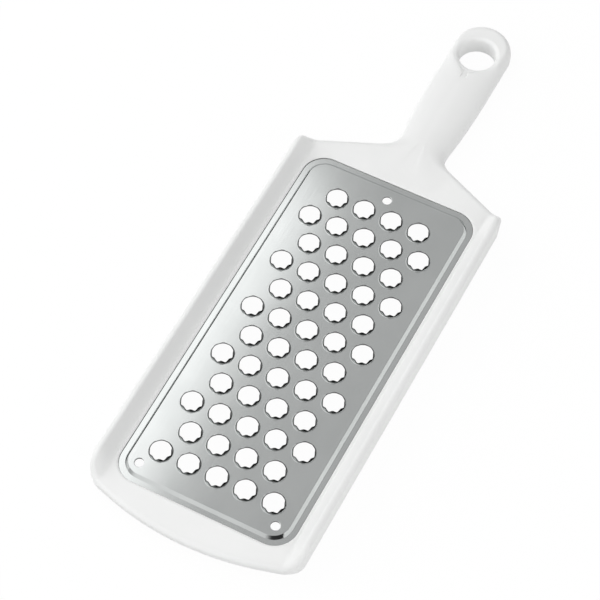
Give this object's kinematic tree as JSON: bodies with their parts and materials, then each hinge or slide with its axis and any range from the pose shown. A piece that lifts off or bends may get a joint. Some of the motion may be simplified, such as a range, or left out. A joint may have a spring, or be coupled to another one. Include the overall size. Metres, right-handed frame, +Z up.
{
  "type": "hand grater",
  "caption": "Flat hand grater: white plastic frame with raised side rails, thin lip and long handle with a hang hole, holding a stamped steel plate of crowned holes.",
  "frame": {"origin": "on the resting plane, under the middle of the overall length and width", "axes": "+X to the right across the width, +Y along the length towards the handle, +Z up out of the grating face"},
  "size_m": [0.089, 0.269, 0.0151],
  "materials": {
    "frame_plastic": "satin gloss",
    "plate_steel": "satin",
    "back_plastic": "satin gloss"
  },
  "bodies": {
    "root": {"front_frame": "frame_plastic", "grating_plate": "plate_steel", "back_frame": "back_plastic"}
  },
  "joints": []
}
